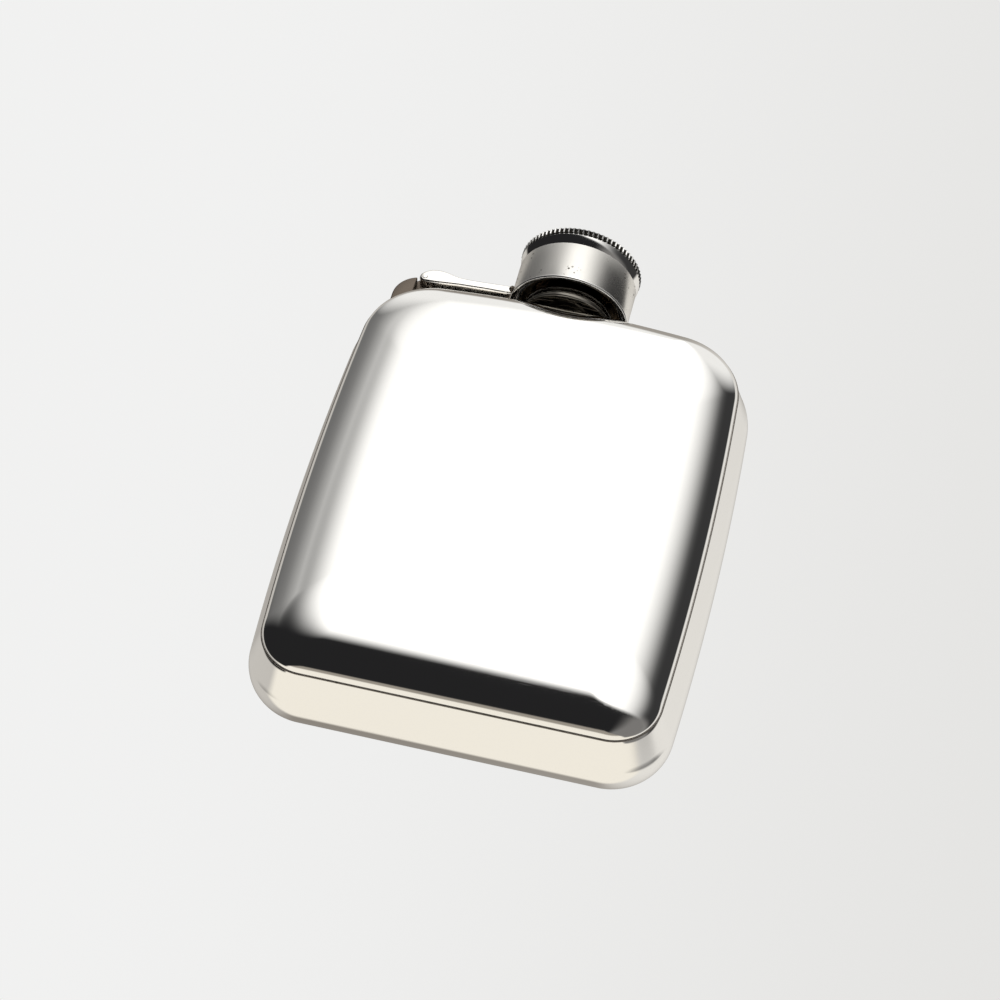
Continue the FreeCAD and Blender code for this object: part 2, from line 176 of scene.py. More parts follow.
def finished(name, bm, material, body, *nodes_replaced, slot="polished_plate", smooth=35):
    """Makes the piece's object from its bmesh, and lets it stand for its CAD nodes."""
    mesh = bpy.data.meshes.new(name)
    bm.to_mesh(mesh)
    bm.free()
    for face in mesh.polygons:
        face.use_smooth = True
    mesh.set_sharp_from_angle(angle=radians(smooth))
    piece = bpy.data.objects.new(name, mesh)
    bpy.context.scene.collection.objects.link(piece)
    mesh.materials.append(material)
    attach(piece, body)
    if nodes_replaced:
        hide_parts(*nodes_replaced)
    return piece


def wrapped(around, along, place):
    """A grid whose first side runs round the flask and whose second follows a section, placed by a rule."""
    bm = bmesh.new()
    bmesh.ops.create_grid(bm, x_segments=around, y_segments=along, size=1)
    for vert in bm.verts:
        vert.co = place((vert.co.x + 1) / 2, (vert.co.y + 1) / 2)
    bmesh.ops.remove_doubles(bm, verts=bm.verts, dist=0.00002)
    return bm


def facing_out(bm):
    """Turns every face of a pressed skin outwards."""
    bmesh.ops.recalc_face_normals(bm, faces=bm.faces)
    middle = max(bm.faces, key=lambda face: abs(face.calc_center_median().y))
    if middle.normal.y * middle.calc_center_median().y < 0:
        bmesh.ops.reverse_faces(bm, faces=bm.faces)
    return bm


def outline_arcs():
    """The arcs of the outline's right half, from base to crest: centre, radius, first and last angle."""
    low = Vector((HALF_WIDTH - BASE_CORNER, BASE_CORNER))
    high = Vector((HALF_WIDTH - SHOULDER_CORNER, CORNER_HEIGHT - SHOULDER_CORNER))
    first, second = SIDE_BOW - BASE_CORNER, SIDE_BOW - SHOULDER_CORNER
    gap = (high - low).length
    along = (first ** 2 - second ** 2 + gap ** 2) / (2 * gap)
    across = sqrt(first ** 2 - along ** 2)
    way = (high - low) / gap
    side = low + way * along + Vector((-way.y, way.x)) * across
    crest = Vector((0, high.y - sqrt((TOP_BOW - SHOULDER_CORNER) ** 2 - high.x ** 2)))
    low_turn = atan2(low.y - side.y, low.x - side.x)
    high_turn = atan2(high.y - side.y, high.x - side.x)
    crest_turn = atan2(high.y - crest.y, high.x - crest.x)
    return [(low, BASE_CORNER, -pi / 2, low_turn), (side, SIDE_BOW, low_turn, high_turn),
            (high, SHOULDER_CORNER, high_turn, crest_turn), (crest, TOP_BOW, crest_turn, pi / 2)]


ARCS = outline_arcs()
HALF_SHARES = (0.13, 0.29, 0.55, 0.84, 1.0)


def on_outline(turn, inset):
    """The outline's point at a share of the way round from the base, anticlockwise, set in by a distance."""
    share = turn * 2 if turn <= 0.5 else (1 - turn) * 2
    mirror = 1 if turn <= 0.5 else -1
    if share <= HALF_SHARES[0]:
        return mirror * ARCS[0][0].x * share / HALF_SHARES[0], inset
    piece = next(n for n in range(4) if share <= HALF_SHARES[n + 1] + 1e-9)
    centre, radius, start, end = ARCS[piece]
    part = (share - HALF_SHARES[piece]) / (HALF_SHARES[piece + 1] - HALF_SHARES[piece])
    angle = start + (end - start) * part
    return mirror * (centre.x + (radius - inset) * cos(angle)), centre.y + (radius - inset) * sin(angle)


MID_HEIGHT = 0.5 * CORNER_HEIGHT
ROLL_AXIS_Y = BACK_Y - BACK_ROLL
ROLL_INSET = BACK_ROLL * (1 - cos(WALL_SLOPE))
ROLL_START_Y = ROLL_AXIS_Y - BACK_ROLL * sin(WALL_SLOPE)
FLANGE_END, WALL_END, ROLL_END = 0.06, 0.24, 0.72


def shell_place(turn, along):
    """The shell's section: flange, the side wall that widens backwards, back roll, then the flat back."""
    turn = 1 - turn
    if along < FLANGE_END:
        x, z = on_outline(turn, SEAM_INSET + FLANGE * (1 - along / FLANGE_END))
        return Vector((x, SEAM_Y, z))
    if along < WALL_END:
        part = (along - FLANGE_END) / (WALL_END - FLANGE_END)
        x, z = on_outline(turn, SEAM_INSET + (ROLL_INSET - SEAM_INSET) * part)
        return Vector((x, SEAM_Y + (ROLL_START_Y - SEAM_Y) * part, z))
    if along < ROLL_END:
        angle = -WALL_SLOPE + (pi / 2 + WALL_SLOPE) * (along - WALL_END) / (ROLL_END - WALL_END)
        x, z = on_outline(turn, BACK_ROLL * (1 - cos(angle)))
        return Vector((x, ROLL_AXIS_Y + BACK_ROLL * sin(angle), z))
    shrink = (1 - along) / (1 - ROLL_END)
    x, z = on_outline(turn, BACK_ROLL)
    return Vector((x * shrink, BACK_Y, MID_HEIGHT + (z - MID_HEIGHT) * shrink))


def settled(piece):
    """Applies a piece's modifiers."""
    bpy.context.view_layer.update()
    piece.data = bpy.data.meshes.new_from_object(
        piece.evaluated_get(bpy.context.evaluated_depsgraph_get()))
    piece.modifiers.clear()


def cut_away(piece, bm):
    """Takes a shape out of a piece."""
    mesh = bpy.data.meshes.new("cutter")
    bm.to_mesh(mesh)
    bm.free()
    cutter = bpy.data.objects.new("cutter", mesh)
    bpy.context.scene.collection.objects.link(cutter)
    cut = piece.modifiers.new("cut", "BOOLEAN")
    cut.operation, cut.solver, cut.object = "DIFFERENCE", "EXACT", cutter
    settled(piece)
    bpy.data.objects.remove(cutter)


def post(radius, low, high):
    """A plain closed cylinder on the neck's axis."""
    bm = bmesh.new()
    bmesh.ops.create_cone(bm, cap_ends=True, segments=128, radius1=radius, radius2=radius, depth=high - low,
                          matrix=Matrix.Translation((0, 0, (low + high) / 2)))
    return bm


def pressed(name, bm, node):
    """A pressing of the body: a skin with a wall on its inside, and the neck's hole left out of it."""
    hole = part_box("neck_tube")[1].x - 0.2 * MM
    middles = [(face, face.calc_center_median()) for face in facing_out(bm).faces]
    inside = [face for face, middle in middles
              if middle.z > MID_HEIGHT and hypot(middle.x, middle.y) < hole]
    bmesh.ops.delete(bm, geom=inside, context="FACES")
    piece = finished(name, bm, silver, "flask_body", node)
    wall = piece.modifiers.new("wall", "SOLIDIFY")
    wall.thickness, wall.offset = WALL, -1


handled_metal = handled_metal_group()
silver = polished_silver("polished_silver", (0.93, 0.915, 0.89), 0.055, 0.3, 0.0, (0.3, 0.25, 0.2))
pressed("back_shell_pressing", wrapped(AROUND, 72, shell_place), "back_shell")


# --- Front panel ------------------------------------------------------------------------------------
# The domed front, pressed from sheet with a full roll to its edge, and set inside the shell's rim. It is
# polished to a mirror, with the finest hairlines of any piece.
panel_low, panel_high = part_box("front_panel")
PILLOW_POWER = 6
RIM_SHARE = 0.6
RIM_ANGLE = pi / 2 * 0.92


def panel_place(turn, along):
    """The panel as a pillow: outlines that shrink to its middle and rise fastest near the rim."""
    if along < RIM_SHARE:
        spread = cos(RIM_ANGLE * along / RIM_SHARE) ** (2 / PILLOW_POWER)
    else:
        spread = cos(RIM_ANGLE) ** (2 / PILLOW_POWER) * (1 - along) / (1 - RIM_SHARE)
    x, z = on_outline(turn, SEAM_INSET)
    return Vector((x * spread, SEAM_Y + (panel_low.y - SEAM_Y) * sqrt(1 - spread ** PILLOW_POWER),
                   MID_HEIGHT + (z - MID_HEIGHT) * spread))


pressed("front_panel_pressing", wrapped(AROUND, 110, panel_place), "front_panel")


# --- Seam solder ------------------------------------------------------------------------------------
# Soft solder drawn into the corner between the panel and the shell. Only a hair of it shows, as a dull
# grey line all round the panel's foot.
SOLDER_LINE = 0.26 * MM


def solder_line_place(turn, along):
    angle = 2 * pi * along
    x, z = on_outline(turn, SEAM_INSET - SOLDER_LINE * cos(angle))
    return Vector((x, SEAM_Y - SOLDER_LINE * 0.4 + SOLDER_LINE * sin(angle), z))


def dull_metal(name, colour, stain, roughness):
    """Bare solder or spring metal: grey, uneven and never polished."""
    material = polished_silver(name, colour, roughness, 0.3, 0.8, stain)
    material.node_tree.nodes["Bump"].inputs["Strength"].default_value = 0.7
    return material


solder = dull_metal("dull_solder", (0.34, 0.31, 0.28), (0.06, 0.05, 0.04), 0.38)
seam_bm = wrapped(AROUND, 8, solder_line_place)
bmesh.ops.recalc_face_normals(seam_bm, faces=seam_bm.faces)
finished("seam_solder_line", seam_bm, solder, "flask_body", "seam_solder", slot="solder", smooth=80)


# --- Neck: tube, collar, solder and lugs ------------------------------------------------------------
# A drawn tube with a rounded rim, passed through a stepped collar that is soldered to the top of the
# body. Two brazed lugs stand out front and back, for the cap's latch to turn under. All of it is painted
# dark as painted shade, for the shade below the cap.
def turned(profile, corners=0.25 * MM, segments=3, steps=128):
    """Spins a closed profile of (radius, height) corners round the neck's axis, its corners rounded."""
    bm = bmesh.new()
    verts = [bm.verts.new((radius, 0, height)) for radius, height in profile]
    bm.faces.new(verts)
    bmesh.ops.bevel(bm, geom=verts, offset=corners, offset_type="OFFSET", affect="VERTICES",
                    segments=segments, profile=0.5, material=-1)
    section = list(bm.faces)
    edges = list(bm.edges)
    bmesh.ops.delete(bm, geom=section, context="FACES_ONLY")
    bmesh.ops.spin(bm, geom=edges, cent=(0, 0, 0), axis=(0, 0, 1), angle=2 * pi, steps=steps, use_merge=True)
    bmesh.ops.remove_doubles(bm, verts=bm.verts, dist=0.000002)
    bmesh.ops.recalc_face_normals(bm, faces=bm.faces)
    return bm


def wedge(inner, outer, low, high, bearing, half_angle, corners=0.2 * MM):
    """A short stretch of a ring, closed at both ends, with all its edges rounded."""
    bm = bmesh.new()
    start = radians(bearing - half_angle)
    verts = [bm.verts.new((radius * cos(start), radius * sin(start), height))
             for radius, height in ((inner, low), (outer, low), (outer, high), (inner, high))]
    face = bm.faces.new(verts)
    bmesh.ops.spin(bm, geom=[face], cent=(0, 0, 0), axis=(0, 0, 1), angle=radians(2 * half_angle), steps=10)
    bmesh.ops.remove_doubles(bm, verts=bm.verts, dist=0.000002)
    bmesh.ops.recalc_face_normals(bm, faces=bm.faces)
    sharp = [edge for edge in bm.edges if len(edge.link_faces) == 2 and edge.calc_face_angle(0) > 0.6]
    bmesh.ops.bevel(bm, geom=sharp, offset=corners, offset_type="OFFSET", affect="EDGES", segments=2,
                    profile=0.5, material=-1)
    return bm


def joined(*parts):
    """Several bmeshes as one."""
    whole = bmesh.new()
    for part in parts:
        mesh = bpy.data.meshes.new("part")
        part.to_mesh(mesh)
        part.free()
        whole.from_mesh(mesh)
        bpy.data.meshes.remove(mesh)
    return whole


tube_low, tube_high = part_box("neck_tube")
collar_low, collar_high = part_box("neck_collar")
lug_low, lug_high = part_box("bayonet_lugs")
bore = tube_high.x - 1.0 * MM
step_radius, step_height = collar_high.x - 1.4 * MM, collar_high.z - 0.8 * MM
collar_foot = collar_high.z - 3.4 * MM
# Its dark colour is painted shade, standing in for the shade under the cap.
neck_silver_painted_shade = polished_silver("neck_silver_painted_shade", (0.22, 0.205, 0.18), 0.13, 1.0, 0.4, (0.04, 0.03, 0.02))
finished("neck_tube_drawn", turned([(bore, tube_low.z), (tube_high.x, tube_low.z), (tube_high.x, tube_high.z),
                                    (bore, tube_high.z)], corners=0.42 * MM, segments=5), neck_silver_painted_shade,
         "flask_body", "neck_tube")
finished("neck_collar_turned", turned([
    (tube_high.x, collar_foot), (collar_high.x, collar_foot), (collar_high.x, step_height),
    (step_radius, step_height), (step_radius, collar_high.z), (tube_high.x, collar_high.z)]), neck_silver_painted_shade,
    "flask_body", "neck_collar")
finished("neck_solder_fillet", turned([(tube_high.x, collar_high.z), (tube_high.x + 0.8 * MM, collar_high.z),
                                       (tube_high.x, collar_high.z + 0.8 * MM)], corners=0.1 * MM), solder,
         "flask_body", "neck_solder", slot="solder")
lugs = [wedge(tube_high.x - 0.1 * MM, lug_high.y, lug_low.z, lug_high.z, bearing, 15)
        for bearing in (90, 270)]
finished("neck_lugs", joined(*lugs), neck_silver_painted_shade, "flask_body", "bayonet_lugs")


# --- Hinge bracket ----------------------------------------------------------------------------------
# A small cast block with a quarter-round back, soldered on the shoulder. A tongue stands from its
# straight face, with the eye that the arm's pin turns in. It is brown with tarnish.
bracket_low, bracket_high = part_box("hinge_bracket")
pin_low, pin_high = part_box("hinge_pin")
pin = Vector(((pin_low.x + pin_high.x) / 2, 0, (pin_low.z + pin_high.z) / 2))
EYE = 1.2 * MM
BRACKET_HALF = bracket_high.y
TONGUE_HALF = 1.8 * MM
face_x = pin.x - 1.55 * MM
toe = Vector((bracket_low.x, 0, 107.4 * MM))
BRACKET_TOP = 113.3 * MM


def slab(points, half_width, corners, segments=3):
    """A profile in the XZ plane given a width across the flask, with its edges rounded."""
    bm = bmesh.new()
    face = bm.faces.new([bm.verts.new((x, -half_width, z)) for x, z in points])
    grown = bmesh.ops.extrude_face_region(bm, geom=[face])
    moved = [item for item in grown["geom"] if isinstance(item, bmesh.types.BMVert)]
    bmesh.ops.translate(bm, verts=moved, vec=(0, 2 * half_width, 0))
    bmesh.ops.recalc_face_normals(bm, faces=bm.faces)
    if corners:
        sharp = [edge for edge in bm.edges if edge.calc_face_angle(0) > 0.5]
        bmesh.ops.bevel(bm, geom=sharp, offset=corners, offset_type="OFFSET", affect="EDGES",
                        segments=segments, profile=0.5, material=-1)
    return bm


def arc(centre, radius, start, end, steps):
    """Points along an arc, angles in degrees."""
    return [(centre[0] + radius * cos(radians(start + (end - start) * n / steps)),
             centre[1] + radius * sin(radians(start + (end - start) * n / steps))) for n in range(steps + 1)]


def drum(radius, half_width, corners=0.12 * MM):
    """A short cylinder on the hinge's axis with rounded rims."""
    bm = bmesh.new()
    turn = Matrix.Translation(pin) @ Matrix.Rotation(pi / 2, 4, "X")
    bmesh.ops.create_cone(bm, cap_ends=True, segments=48, radius1=radius, radius2=radius,
                          depth=2 * half_width, matrix=turn)
    rims = [edge for edge in bm.edges if edge.calc_face_angle(0) > 0.8]
    bmesh.ops.bevel(bm, geom=rims, offset=corners, offset_type="OFFSET", affect="EDGES", segments=3,
                    profile=0.5, material=-1)
    return bm


width, rise = face_x - toe.x, BRACKET_TOP - toe.z
back_radius = (width ** 2 + rise ** 2) / (2 * width)
back_end = degrees(atan2(rise, width - back_radius))
bracket_profile = ([(toe.x, toe.z - 2.2 * MM)]
                   + arc((toe.x + back_radius, toe.z), back_radius, 180, back_end, 14)
                   + [(face_x, toe.z + 1.2 * MM)])
tongue_profile = ([(face_x - 1.5 * MM, toe.z + 1.6 * MM), (face_x - 1.5 * MM, BRACKET_TOP - 0.6 * MM)]
                  + arc((pin.x, pin.z), EYE, 150, -30, 16) + [(pin.x + 0.2 * MM, pin.z - 3.4 * MM)])
worn_silver = polished_silver("worn_silver", (0.90, 0.87, 0.82), 0.12, 1.0, 0.75, (0.16, 0.11, 0.07))
tarnished = polished_silver("tarnished_silver", (0.17, 0.14, 0.115), 0.30, 1.0, 0.5, (0.03, 0.02, 0.015))
finished("hinge_bracket_block", joined(slab(bracket_profile, BRACKET_HALF, 0.3 * MM),
                                       slab(tongue_profile, TONGUE_HALF, 0.12 * MM)),
         tarnished, "flask_body", "hinge_bracket")
foot_bm = bmesh.new()
bmesh.ops.create_uvsphere(foot_bm, u_segments=40, v_segments=20, radius=1,
                          matrix=Matrix.Translation((toe.x + 1.7 * MM, 0, toe.z - 1.1 * MM))
                          @ Matrix.Rotation(radians(-42), 4, "Y")
                          @ Matrix.Diagonal((3.2 * MM, BRACKET_HALF + 0.5 * MM, 0.8 * MM, 1)))
finished("bracket_solder_foot", foot_bm, solder, "flask_body", "bracket_solder", slot="solder", smooth=80)


# --- Hinge arm and pin ------------------------------------------------------------------------------
# A cast strap with a thick rounded nose over the pin, thinning to a waist and narrowing to the band. The
# pin is riveted over at both ears and plated with them.
ARM_HALF, ARM_END_HALF = 4.0 * MM, 2.9 * MM
band_low, band_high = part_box("outer_band")
BAND_RADIUS = band_high.x
TAPER_START = 6.0 * MM


def near_pin(along, up):
    return pin.x + along * MM, pin.z + up * MM


arm_profile = (arc((pin.x, pin.z), EYE, 270, 165, 8)
               + [near_pin(-0.95, 0.95), near_pin(-0.45, 1.5), near_pin(0.3, 2.05), near_pin(1.2, 2.45),
                  near_pin(2.2, 2.66), near_pin(3.1, 2.7), near_pin(4.0, 2.62), near_pin(5.2, 2.36),
                  near_pin(6.4, 2.05), near_pin(7.8, 1.85), near_pin(10.0, 1.98), near_pin(13.0, 2.3),
                  near_pin(16.5, 2.75), near_pin(19.9, 3.2)]
               + [near_pin(19.9, 0.95), near_pin(14.0, 0.35), near_pin(8.0, -0.35), near_pin(2.6, -1.05)])
arm_bm = slab(arm_profile, ARM_HALF, 0)
for vert in arm_bm.verts:
    past = max(0.0, vert.co.x - pin.x - TAPER_START) / (-BAND_RADIUS - pin.x - TAPER_START)
    vert.co.y *= 1 - past * (1 - ARM_END_HALF / ARM_HALF)
edge_rims = [edge for edge in arm_bm.edges if abs(edge.verts[0].co.y - edge.verts[1].co.y) < 1.0 * MM
             and edge.calc_face_angle(0) > 0.8]
bmesh.ops.bevel(arm_bm, geom=edge_rims, offset=0.55 * MM, offset_type="OFFSET", affect="EDGES", segments=4,
                profile=0.5, material=-1)
arm = finished("hinge_arm_strap", arm_bm, worn_silver, "lid", "hinge_arm", smooth=50)


slot_bm = bmesh.new()
bmesh.ops.create_cube(slot_bm, size=1, matrix=Matrix.Translation(pin)
                      @ Matrix.Diagonal((3.0 * MM, 2 * (TONGUE_HALF + 0.15 * MM), 9 * MM, 1)))
cut_away(arm, slot_bm)
brass = polished_silver("worn_brass", (0.62, 0.47, 0.24), 0.22, 1.0, 0.5, (0.12, 0.07, 0.03))
finished("hinge_pin_riveted", drum(0.62 * MM, ARM_HALF + 0.12 * MM, 0.2 * MM), worn_silver, "lid",
         "hinge_pin", slot="pin_brass")


# --- Solder lump on the arm -------------------------------------------------------------------------
# A generous lump of soft solder where the strap meets the band, dark with old polish in its hollows.
lump_bm = bmesh.new()
bmesh.ops.create_icosphere(lump_bm, subdivisions=5, radius=1)
for vert in lump_bm.verts:
    ripple = 1 + 0.10 * sin(5.1 * vert.co.y + 1) * cos(4.3 * vert.co.z) + 0.06 * sin(9 * vert.co.x + 2)
    vert.co = Vector((vert.co.x * 1.9 * MM, vert.co.y * 3.1 * MM, vert.co.z * 1.75 * MM)) * ripple
bmesh.ops.translate(lump_bm, verts=lump_bm.verts, vec=(-BAND_RADIUS - 0.1 * MM, 0, pin.z + 2.2 * MM))
dark_solder = dull_metal("dark_solder", (0.20, 0.17, 0.14), (0.02, 0.015, 0.01), 0.30)
lump = finished("arm_solder_lump", lump_bm, dark_solder, "lid", "arm_solder", slot="solder", smooth=80)
cut_away(lump, post(BAND_RADIUS - 0.3 * MM, band_low.z - 10 * MM, band_high.z))


# --- Band and bead ----------------------------------------------------------------------------------
# The band that holds the knob: a drawn ring with a satin wear to it, relieved inside at its foot. A fine
# wire bead is soldered round the foot.
BAND_BORE = 12.15 * MM
RELIEF = 12.75 * MM
relief_top = band_low.z + 2.3 * MM
band_foot = band_low.z + 0.3 * MM
bead_radius, bead_top = BAND_RADIUS + 0.28 * MM, band_low.z + 0.62 * MM
satin_silver = polished_silver("satin_silver", (0.86, 0.835, 0.79), 0.27, 1.0, 0.9, (0.10, 0.08, 0.06))
finished("cap_band", turned([
    (RELIEF, band_foot), (BAND_RADIUS, band_foot), (BAND_RADIUS, band_high.z), (BAND_BORE, band_high.z),
    (BAND_BORE, relief_top), (RELIEF, relief_top)], corners=0.12 * MM), satin_silver, "lid", "outer_band")
finished("cap_band_bead", turned([
    (RELIEF, band_low.z), (bead_radius, band_low.z), (bead_radius, bead_top), (RELIEF, bead_top)],
    corners=0.28 * MM, segments=5), silver, "lid", "band_bead")


# --- Knob skirt and milled crown --------------------------------------------------------------------
# The part that the fingers turn: a plain skirt that widens upwards, under a crown with a milled edge of
# fine teeth and a low domed top.
skirt_low, skirt_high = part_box("knob_skirt")
crown_low, crown_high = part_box("milled_crown")
CROWN_RADIUS = crown_high.x
TEETH = 76
TOOTH_DEPTH = 0.46 * MM
EDGE_HEIGHT = 1.9 * MM
finished("knob_skirt_turned", turned([
    (1.5 * MM, skirt_low.z), (skirt_high.x - 1.2 * MM, skirt_low.z),
    (skirt_high.x, skirt_high.z - 0.15 * MM), (skirt_high.x - 0.75 * MM, skirt_high.z),
    (skirt_high.x - 2.0 * MM, skirt_low.z + 0.8 * MM),
    (1.5 * MM, skirt_low.z + 0.8 * MM)], corners=0.08 * MM), silver, "cap_knob", "knob_skirt")
edge_top = crown_low.z + EDGE_HEIGHT


def milled_silver():
    """Silver with old polish gone black between the teeth of its milled edge."""
    material = polished_silver("milled_silver", (0.93, 0.915, 0.89), 0.09, 1.0, 0.2, (0.3, 0.25, 0.2))
    nodes, links = material.node_tree.nodes, material.node_tree.links
    axes = nodes.new("ShaderNodeSeparateXYZ")
    links.new(nodes["Texture Coordinate"].outputs["Object"], axes.inputs["Vector"])

    maths, step = node_maths(material.node_tree), node_step(material.node_tree)
    x, y, _ = axes.outputs
    tooth = maths("COSINE", maths("MULTIPLY", maths("ARCTAN2", y, x), TEETH))
    tip = step(tooth, 0.1, 0.8)
    radius = maths("SQRT", maths("ADD", maths("MULTIPLY", x, x), maths("MULTIPLY", y, y)))
    clean = maths("MAXIMUM", tip, maths("LESS_THAN", radius, CROWN_RADIUS - 0.75 * MM))
    shade = nodes.new("ShaderNodeMix")
    shade.data_type = "RGBA"
    shade.inputs["A"].default_value = (0.02, 0.018, 0.015, 1)
    links.new(clean, shade.inputs["Factor"])
    links.new(nodes["Group"].outputs["Colour"], shade.inputs["B"])
    links.new(shade.outputs["Result"], nodes["Principled BSDF"].inputs["Base Color"])
    return material


crown_bm = turned([
    (0.001 * MM, crown_high.z), (6.5 * MM, crown_high.z - 0.16 * MM),
    (CROWN_RADIUS - 1.1 * MM, edge_top + 0.02 * MM), (CROWN_RADIUS - 0.9 * MM, edge_top - 0.12 * MM),
    (CROWN_RADIUS - 0.25 * MM, edge_top - 0.1 * MM), (CROWN_RADIUS, edge_top - 0.4 * MM),
    (CROWN_RADIUS, crown_low.z + 0.35 * MM), (CROWN_RADIUS - 0.5 * MM, crown_low.z),
    (CROWN_RADIUS - 1.4 * MM, crown_low.z), (CROWN_RADIUS - 1.4 * MM, edge_top - 0.8 * MM),
    (0.001 * MM, edge_top - 0.8 * MM)], corners=0.06 * MM, segments=2, steps=TEETH * 8)
for vert in crown_bm.verts:
    radius = hypot(vert.co.x, vert.co.y)
    if radius > CROWN_RADIUS - 0.7 * MM:
        wave = 0.5 + 0.5 * cos(TEETH * atan2(vert.co.y, vert.co.x))
        near_edge = (radius - CROWN_RADIUS + 0.7 * MM) / (0.7 * MM)
        shrink = 1 - TOOTH_DEPTH * near_edge * (1 - wave ** 1.3) / radius
        vert.co.x, vert.co.y = vert.co.x * shrink, vert.co.y * shrink
finished("knob_crown_milled", crown_bm, milled_silver(), "cap_knob", "milled_crown", smooth=60)


# --- Inside the cap ---------------------------------------------------------------------------------
# An unplated brass cup, dark with age and darker still with painted shade for the inside of the cap,
# turns in the band, kept by a sprung ring. It carries the latch ring with its two tabs, a cork seal on a
# brass plate, a wavy spring washer, and the rivet through them all.
cup_low, cup_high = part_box("inner_cup")
ring_low, ring_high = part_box("retaining_ring")
latch_low, latch_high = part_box("bayonet_ring")
seal_low, seal_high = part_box("seal_disc")
plate_low, plate_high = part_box("seal_plate")
washer_low, washer_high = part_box("spring_washer")
rivet_low, rivet_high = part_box("centre_rivet")
CUP_BORE = latch_high.x
# Near black: aged brass, darkened further as painted shade for the inside of the cap.
aged_brass_and_painted_shade = polished_silver("aged_brass_and_painted_shade", (0.085, 0.062, 0.038), 0.26, 1.0, 0.5, (0.02, 0.014, 0.01))
RIVET = 1.5 * MM
RIVET_HEAD = rivet_high.x
spring_steel = polished_silver("spring_steel", (0.56, 0.56, 0.57), 0.20, 1.0, 0.3, (0.10, 0.08, 0.07))
finished("cup_inner", turned([
    (RIVET, cup_high.z - 0.7 * MM), (CUP_BORE, cup_high.z - 0.7 * MM), (CUP_BORE, cup_low.z),
    (cup_high.x - 0.35 * MM, cup_low.z), (cup_high.x - 0.35 * MM, ring_high.z), (cup_high.x, ring_high.z),
    (cup_high.x, cup_high.z), (RIVET, cup_high.z)], corners=0.08 * MM), aged_brass_and_painted_shade, "cap_knob", "inner_cup",
    slot="inner_brass")
finished("cup_retaining_ring", turned([
    (cup_high.x - 0.35 * MM, ring_low.z), (ring_high.x, ring_low.z), (ring_high.x, ring_high.z),
    (cup_high.x - 0.35 * MM, ring_high.z)], corners=0.15 * MM), spring_steel, "cap_knob", "retaining_ring",
    slot="spring_steel")
latch_ring = turned([(9.6 * MM, latch_low.z), (CUP_BORE, latch_low.z), (CUP_BORE, latch_high.z),
                     (9.6 * MM, latch_high.z)], corners=0.15 * MM)
latch_tabs = [wedge(8.0 * MM, 9.9 * MM, latch_low.z, latch_high.z, bearing, 15) for bearing in (0, 180)]
finished("cup_latch_ring", joined(latch_ring, *latch_tabs), aged_brass_and_painted_shade, "cap_knob", "bayonet_ring",
         slot="inner_brass")


def cork_material():
    """Cork pressed into a disc: brown granules with dark gaps, matt."""
    material = bpy.data.materials.new("pressed_cork")
    material.use_nodes = True
    nodes, links = material.node_tree.nodes, material.node_tree.links
    where = nodes.new("ShaderNodeTexCoord")
    cells = nodes.new("ShaderNodeTexVoronoi")
    cells.inputs["Scale"].default_value = 1100
    ramp = nodes.new("ShaderNodeValToRGB")
    ramp.color_ramp.elements[0].color = (0.30, 0.17, 0.08, 1)
    ramp.color_ramp.elements[1].color = (0.09, 0.045, 0.02, 1)
    ramp.color_ramp.elements[1].position = 0.75
    bump = nodes.new("ShaderNodeBump")
    bump.inputs["Distance"].default_value = 0.0002
    bump.invert = True
    shader = nodes["Principled BSDF"]
    shader.inputs["Roughness"].default_value = 0.85
    links.new(where.outputs["Object"], cells.inputs["Vector"])
    links.new(cells.outputs["Distance"], ramp.inputs["Fac"])
    links.new(ramp.outputs["Color"], shader.inputs["Base Color"])
    links.new(cells.outputs["Distance"], bump.inputs["Height"])
    links.new(bump.outputs["Normal"], shader.inputs["Normal"])
    return material


finished("seal_cork", turned([(2.9 * MM, seal_low.z), (seal_high.x, seal_low.z), (seal_high.x, seal_high.z),
                              (2.9 * MM, seal_high.z)], corners=0.2 * MM), cork_material(), "cap_knob",
         "seal_disc", slot="seal_rubber")
finished("seal_backing_plate", turned([(RIVET, plate_low.z), (plate_high.x, plate_low.z),
                                       (plate_high.x, plate_high.z), (RIVET, plate_high.z)],
                                      corners=0.1 * MM), brass, "cap_knob", "seal_plate", slot="inner_brass")
washer_bm = turned([(5.0 * MM, washer_low.z + 0.1 * MM), (washer_high.x, washer_low.z + 0.1 * MM),
                    (washer_high.x, washer_high.z - 0.1 * MM), (5.0 * MM, washer_high.z - 0.1 * MM)],
                   corners=0.05 * MM)
for vert in washer_bm.verts:
    vert.co.z += 0.1 * MM * sin(3 * atan2(vert.co.y, vert.co.x))
finished("spring_washer_wavy", washer_bm, spring_steel, "cap_knob", "spring_washer", slot="spring_steel")
finished("centre_rivet_set", turned([
    (0.02 * MM, rivet_low.z), (RIVET_HEAD, rivet_low.z + 0.1 * MM), (RIVET_HEAD, plate_low.z),
    (RIVET, plate_low.z), (RIVET, skirt_low.z + 0.8 * MM), (RIVET_HEAD, skirt_low.z + 0.8 * MM),
    (RIVET_HEAD, rivet_high.z - 0.2 * MM), (0.02 * MM, rivet_high.z)], corners=0.08 * MM), brass,
    "cap_knob", "centre_rivet", slot="inner_brass")


# --- Camera, floor and studio light -----------------------------------------------------------------
# A long lens from below and in front, as the flask is seen lying back. One large soft light is in front
# and above, a pale table is behind, and the rest of the room is dark, which is what gives silver its form.
camera_data = bpy.data.cameras.new("camera")
camera = bpy.data.objects.new("camera", camera_data)
bpy.context.scene.collection.objects.link(camera)
camera_data.sensor_width = 36
camera_data.lens = 111.7
camera.location = (0.0751, -0.5429, -0.3222)
camera.rotation_euler = Euler((radians(126.035), radians(-13.429), radians(-1.406)), "XYZ")
bpy.context.scene.camera = camera
bpy.context.scene.view_settings.view_transform = "Standard"

